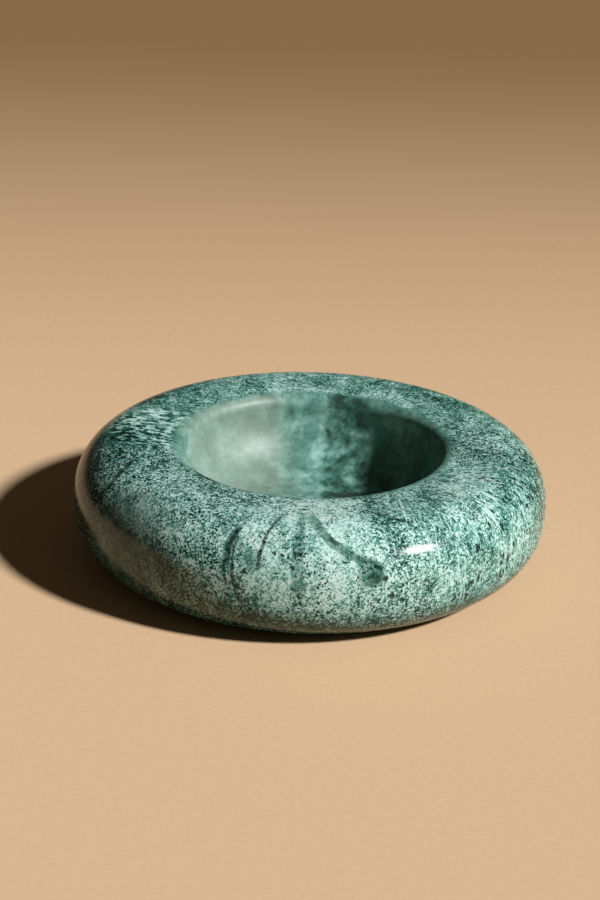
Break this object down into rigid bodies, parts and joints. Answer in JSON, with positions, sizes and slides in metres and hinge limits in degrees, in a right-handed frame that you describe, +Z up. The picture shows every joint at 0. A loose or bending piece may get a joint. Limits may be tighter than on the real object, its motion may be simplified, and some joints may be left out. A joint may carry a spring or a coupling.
{
  "type": "ring dish",
  "caption": "Thick round stone ring dish with a deep smooth hollow for rings and small jewellery, standing on soft stick-on pads.",
  "frame": {"origin": "on the dish's axis, on the surface that the pads rest on", "axes": "+Z up along the axis of the turned ring; +X to the right and -Y to the front as the picture shows it"},
  "size_m": [0.11, 0.11, 0.0275],
  "materials": {
    "green_marble": "polished green marble",
    "soft_pad": "frosted clear polyurethane, satin"
  },
  "bodies": {
    "root": {"dish": "green_marble", "pad_front_left": "soft_pad", "pad_front_right": "soft_pad", "pad_back_left": "soft_pad", "pad_back_right": "soft_pad"}
  },
  "joints": []
}
